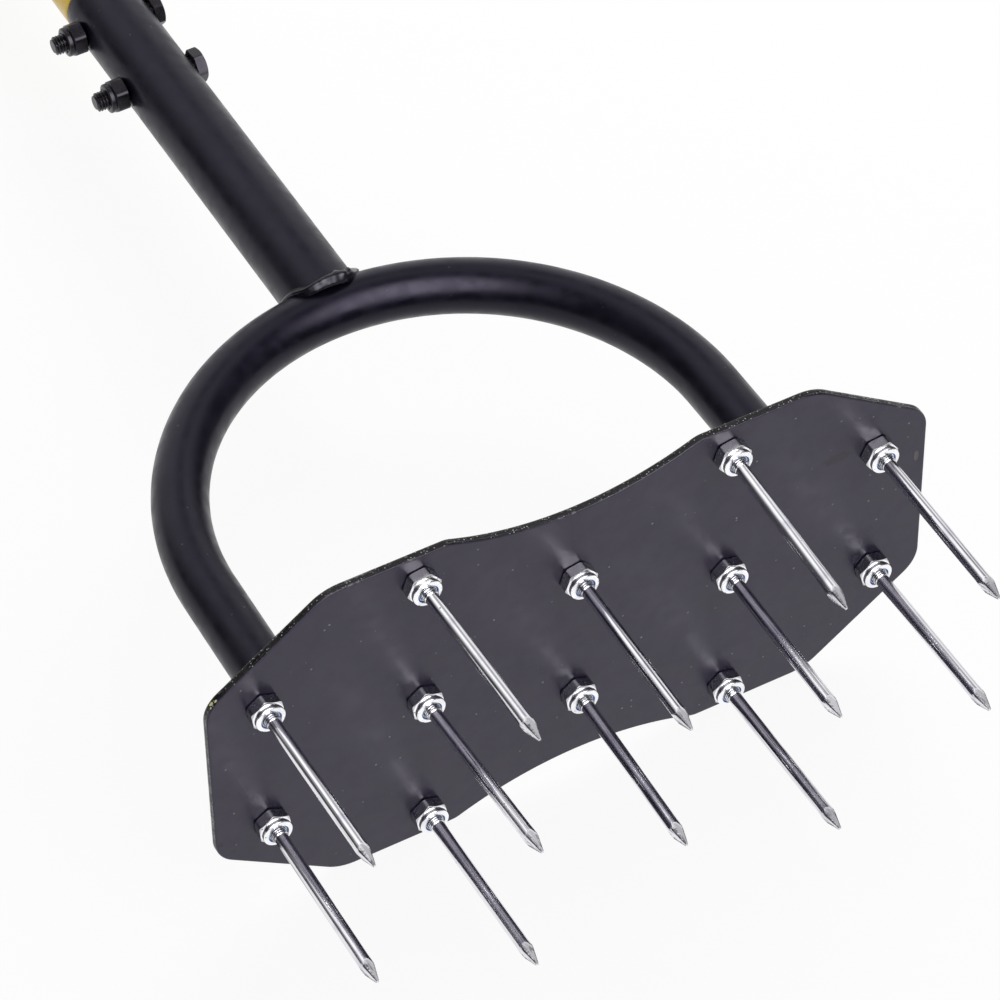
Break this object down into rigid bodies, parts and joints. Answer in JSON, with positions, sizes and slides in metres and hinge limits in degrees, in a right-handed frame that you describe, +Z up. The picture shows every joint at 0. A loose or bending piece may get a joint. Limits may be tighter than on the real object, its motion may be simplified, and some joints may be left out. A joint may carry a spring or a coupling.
{
  "type": "lawn aerator",
  "caption": "Push-in lawn aerator: a flat waisted plate with nut-locked pointed spikes below, on a bent tube hoop and a two-piece shaft with a T handle.",
  "frame": {"origin": "on the ground under the middle of the plate, at the level of the spike tips", "axes": "+Z up the shaft, X along the plate and the handle bar, Y across the plate"},
  "size_m": [0.3, 0.152, 0.9],
  "materials": {
    "powder_coat": "matte charcoal powder coat",
    "tube_paint": "satin black paint",
    "yellow_paint": "satin yellow paint",
    "zinc_steel": "bright zinc plate",
    "black_steel": "gloss black plated steel",
    "blue_nylon": "translucent blue nylon",
    "rubber": "matte black rubber"
  },
  "bodies": {
    "root": {"bolt_nut_lower": "black_steel", "bolt_nut_upper": "black_steel", "bolt_ring_lower": "blue_nylon", "bolt_ring_upper": "blue_nylon", "grip_left": "rubber", "grip_right": "rubber", "handle_bar": "yellow_paint", "handle_weld": "yellow_paint", "hoop_tube": "tube_paint", "hoop_weld_left": "tube_paint", "hoop_weld_right": "tube_paint", "lock_nut_01": "zinc_steel", "lock_nut_02": "zinc_steel", "lock_nut_03": "zinc_steel", "lock_nut_04": "zinc_steel", "lock_nut_05": "zinc_steel", "lock_nut_06": "zinc_steel", "lock_nut_07": "zinc_steel", "lock_nut_08": "zinc_steel", "lock_nut_09": "zinc_steel", "lock_nut_10": "zinc_steel", "lock_nut_11": "zinc_steel", "lock_nut_12": "zinc_steel", "lower_shaft": "tube_paint", "nylon_ring_01": "blue_nylon", "nylon_ring_02": "blue_nylon", "nylon_ring_03": "blue_nylon", "nylon_ring_04": "blue_nylon", "nylon_ring_05": "blue_nylon", "nylon_ring_06": "blue_nylon", "nylon_ring_07": "blue_nylon", "nylon_ring_08": "blue_nylon", "nylon_ring_09": "blue_nylon", "nylon_ring_10": "blue_nylon", "nylon_ring_11": "blue_nylon", "nylon_ring_12": "blue_nylon", "shaft_bolt_lower": "black_steel", "shaft_bolt_upper": "black_steel", "shaft_weld": "tube_paint", "spike_01": "zinc_steel", "spike_02": "zinc_steel", "spike_03": "zinc_steel", "spike_04": "zinc_steel", "spike_05": "zinc_steel", "spike_06": "zinc_steel", "spike_07": "zinc_steel", "spike_08": "zinc_steel", "spike_09": "zinc_steel", "spike_10": "zinc_steel", "spike_11": "zinc_steel", "spike_12": "zinc_steel", "tine_plate": "powder_coat", "upper_shaft": "yellow_paint"}
  },
  "joints": []
}
